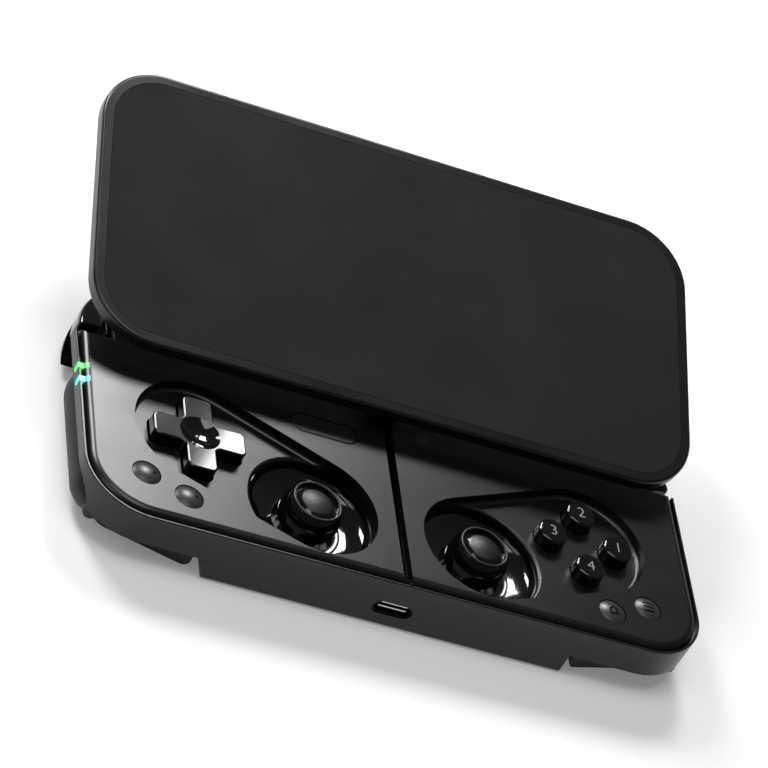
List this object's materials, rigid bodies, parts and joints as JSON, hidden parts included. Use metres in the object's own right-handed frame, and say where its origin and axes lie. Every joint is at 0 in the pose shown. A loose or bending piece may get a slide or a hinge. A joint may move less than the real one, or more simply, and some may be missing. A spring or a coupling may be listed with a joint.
{
  "type": "mobile gamepad",
  "caption": "Handheld phone gamepad with a sliding, tilting magnetic phone plate, thumbsticks, direction cross, round buttons, shoulder levers and fold-out grips.",
  "frame": {"origin": "centre of the flat back of the middle block, on the plane the part rests on", "axes": "+X to the player's right, +Y up the face toward the phone plate, +Z out of the face"},
  "size_m": [0.1476, 0.1155, 0.0381],
  "materials": {
    "soft_black_shell": "soft-touch satin black",
    "grip_black": "matte black",
    "plate_rim": "satin black",
    "plate_pad": "soft matte pad",
    "magnet": "nickel-plated",
    "dark_anodised": "dark satin",
    "steel": "ground",
    "bronze": "sintered bronze",
    "circuit_board": "solder mask",
    "cell_foil": "foil pouch",
    "tongue": "smooth",
    "switch_can": "stamped",
    "dome_rubber": "translucent grey",
    "lamp_green": "lit light pipe",
    "lamp_cyan": "lit light pipe",
    "gloss_black": "polished black",
    "stick_black": "satin cap, gloss ball",
    "inner_plastic": "moulded",
    "bright_black": "mirror gloss",
    "pill_black": "satin, thin paler outline"
  },
  "bodies": {
    "body": {"front_cover": "soft_black_shell", "chassis_frame": "soft_black_shell", "rear_cover": "soft_black_shell", "case_screws": "steel", "main_board": "circuit_board", "battery_cells": "cell_foil", "control_board_left": "circuit_board", "control_board_right": "circuit_board", "tact_switches": "switch_can", "dpad_dome_mat": "dome_rubber", "button_dome_mat": "dome_rubber", "usb_shell": "steel", "usb_tongue": "tongue", "usb_board": "circuit_board", "lamp_pipe_green": "lamp_green", "lamp_pipe_cyan": "lamp_cyan", "stick_well_left": "gloss_black", "stick_well_right": "gloss_black", "stick_base_left": "inner_plastic", "stick_base_right": "inner_plastic", "dpad_pivot_base": "inner_plastic", "slide_rods": "steel", "shoulder_pins": "steel", "grip_pins": "steel"},
    "carriage": {"slide_carriage": "dark_anodised", "carriage_bushes": "bronze", "slide_blade": "dark_anodised"},
    "plate": {"phone_plate": "plate_rim", "plate_pad": "plate_pad", "magnet_ring": "magnet", "hinge_bracket": "dark_anodised", "hinge_pin": "steel", "bracket_screws": "steel"},
    "dpad_spider": {"dpad_spider": "steel"},
    "dpad": {"dpad": "gloss_black"},
    "mode_button": {"mode_button": "pill_black"},
    "gimbal_frame_left": {"gimbal_frame_left": "inner_plastic"},
    "gimbal_cradle_left": {"gimbal_cradle_left": "steel"},
    "thumbstick_left": {"thumbstick_left": "stick_black"},
    "bumper_left": {"bumper_left": "bright_black"},
    "trigger_left": {"trigger_left": "bright_black"},
    "grip_left": {"grip_left": "grip_black"},
    "gimbal_frame_right": {"gimbal_frame_right": "inner_plastic"},
    "gimbal_cradle_right": {"gimbal_cradle_right": "steel"},
    "thumbstick_right": {"thumbstick_right": "stick_black"},
    "bumper_right": {"bumper_right": "bright_black"},
    "trigger_right": {"trigger_right": "bright_black"},
    "grip_right": {"grip_right": "grip_black"},
    "face_button_1": {"face_button_1": "gloss_black"},
    "face_button_2": {"face_button_2": "gloss_black"},
    "face_button_3": {"face_button_3": "gloss_black"},
    "face_button_4": {"face_button_4": "gloss_black"},
    "capture_button": {"capture_button": "gloss_black"},
    "select_button": {"select_button": "gloss_black"},
    "home_button": {"home_button": "gloss_black"},
    "menu_button": {"menu_button": "gloss_black"}
  },
  "joints": [
    {"name": "plate_slide", "type": "slide", "parent": "body", "child": "carriage", "axis": [0, 1, 0], "range_m": [-0.0468, 0]},
    {"name": "plate_tilt", "type": "hinge", "parent": "carriage", "child": "plate", "pos_m": [0, 0.0167, 0.0162], "axis": [1, 0, 0], "range_deg": [-14.5, 0]},
    {"name": "dpad_rock_x", "type": "hinge", "parent": "body", "child": "dpad_spider", "pos_m": [-0.04685, -0.0072, 0.0096], "axis": [1, 0, 0], "range_deg": [-3, 3], "stiffness_Nm_per_rad": 0.2},
    {"name": "dpad_rock_y", "type": "hinge", "parent": "dpad_spider", "child": "dpad", "pos_m": [-0.04685, -0.0072, 0.0096], "axis": [0, 1, 0], "range_deg": [-3, 3], "stiffness_Nm_per_rad": 0.2},
    {"name": "mode_press", "type": "slide", "parent": "body", "child": "mode_button", "axis": [0, 0, -1], "range_m": [0, 0.0005], "stiffness_N_per_m": 3000},
    {"name": "stick_click_left", "type": "slide", "parent": "body", "child": "gimbal_frame_left", "axis": [0, 0, -1], "range_m": [0, 0.0004], "stiffness_N_per_m": 6000},
    {"name": "stick_tilt_x_left", "type": "hinge", "parent": "gimbal_frame_left", "child": "gimbal_cradle_left", "pos_m": [-0.02009, -0.0183, 0.0084], "axis": [1, 0, 0], "range_deg": [-18, 18], "stiffness_Nm_per_rad": 0.03},
    {"name": "stick_tilt_y_left", "type": "hinge", "parent": "gimbal_cradle_left", "child": "thumbstick_left", "pos_m": [-0.02009, -0.0183, 0.0084], "axis": [0, 1, 0], "range_deg": [-18, 18], "stiffness_Nm_per_rad": 0.03},
    {"name": "bumper_press_left", "type": "hinge", "parent": "body", "child": "bumper_left", "pos_m": [-0.0472, 0.0319, 0.01], "axis": [0, 0, 1], "range_deg": [0, 1.8], "stiffness_Nm_per_rad": 3, "springref_deg": -1.15},
    {"name": "trigger_pull_left", "type": "hinge", "parent": "body", "child": "trigger_left", "pos_m": [-0.0472, 0.0319, 0.005], "axis": [0, 0, 1], "range_deg": [0, 3.5], "stiffness_Nm_per_rad": 1.5, "springref_deg": -1.72},
    {"name": "grip_unfold_left", "type": "hinge", "parent": "body", "child": "grip_left", "pos_m": [-0.06935, -0.009, 0.0054], "axis": [0, 1, 0], "range_deg": [0, 105]},
    {"name": "stick_click_right", "type": "slide", "parent": "body", "child": "gimbal_frame_right", "axis": [0, 0, -1], "range_m": [0, 0.0004], "stiffness_N_per_m": 6000},
    {"name": "stick_tilt_x_right", "type": "hinge", "parent": "gimbal_frame_right", "child": "gimbal_cradle_right", "pos_m": [0.02009, -0.0183, 0.0084], "axis": [1, 0, 0], "range_deg": [-18, 18], "stiffness_Nm_per_rad": 0.03},
    {"name": "stick_tilt_y_right", "type": "hinge", "parent": "gimbal_cradle_right", "child": "thumbstick_right", "pos_m": [0.02009, -0.0183, 0.0084], "axis": [0, 1, 0], "range_deg": [-18, 18], "stiffness_Nm_per_rad": 0.03},
    {"name": "bumper_press_right", "type": "hinge", "parent": "body", "child": "bumper_right", "pos_m": [0.0472, 0.0319, 0.01], "axis": [0, 0, -1], "range_deg": [0, 1.8], "stiffness_Nm_per_rad": 3, "springref_deg": -1.15},
    {"name": "trigger_pull_right", "type": "hinge", "parent": "body", "child": "trigger_right", "pos_m": [0.0472, 0.0319, 0.005], "axis": [0, 0, -1], "range_deg": [0, 3.5], "stiffness_Nm_per_rad": 1.5, "springref_deg": -1.72},
    {"name": "grip_unfold_right", "type": "hinge", "parent": "body", "child": "grip_right", "pos_m": [0.06935, -0.009, 0.0054], "axis": [0, -1, 0], "range_deg": [0, 105]},
    {"name": "face_button_1_press", "type": "slide", "parent": "body", "child": "face_button_1", "axis": [0, 0, -1], "range_m": [0, 0.001], "stiffness_N_per_m": 1500},
    {"name": "face_button_2_press", "type": "slide", "parent": "body", "child": "face_button_2", "axis": [0, 0, -1], "range_m": [0, 0.001], "stiffness_N_per_m": 1500},
    {"name": "face_button_3_press", "type": "slide", "parent": "body", "child": "face_button_3", "axis": [0, 0, -1], "range_m": [0, 0.001], "stiffness_N_per_m": 1500},
    {"name": "face_button_4_press", "type": "slide", "parent": "body", "child": "face_button_4", "axis": [0, 0, -1], "range_m": [0, 0.001], "stiffness_N_per_m": 1500},
    {"name": "capture_button_press", "type": "slide", "parent": "body", "child": "capture_button", "axis": [0, 0, -1], "range_m": [0, 0.0005], "stiffness_N_per_m": 3000},
    {"name": "select_button_press", "type": "slide", "parent": "body", "child": "select_button", "axis": [0, 0, -1], "range_m": [0, 0.0005], "stiffness_N_per_m": 3000},
    {"name": "home_button_press", "type": "slide", "parent": "body", "child": "home_button", "axis": [0, 0, -1], "range_m": [0, 0.0005], "stiffness_N_per_m": 3000},
    {"name": "menu_button_press", "type": "slide", "parent": "body", "child": "menu_button", "axis": [0, 0, -1], "range_m": [0, 0.0005], "stiffness_N_per_m": 3000}
  ]
}
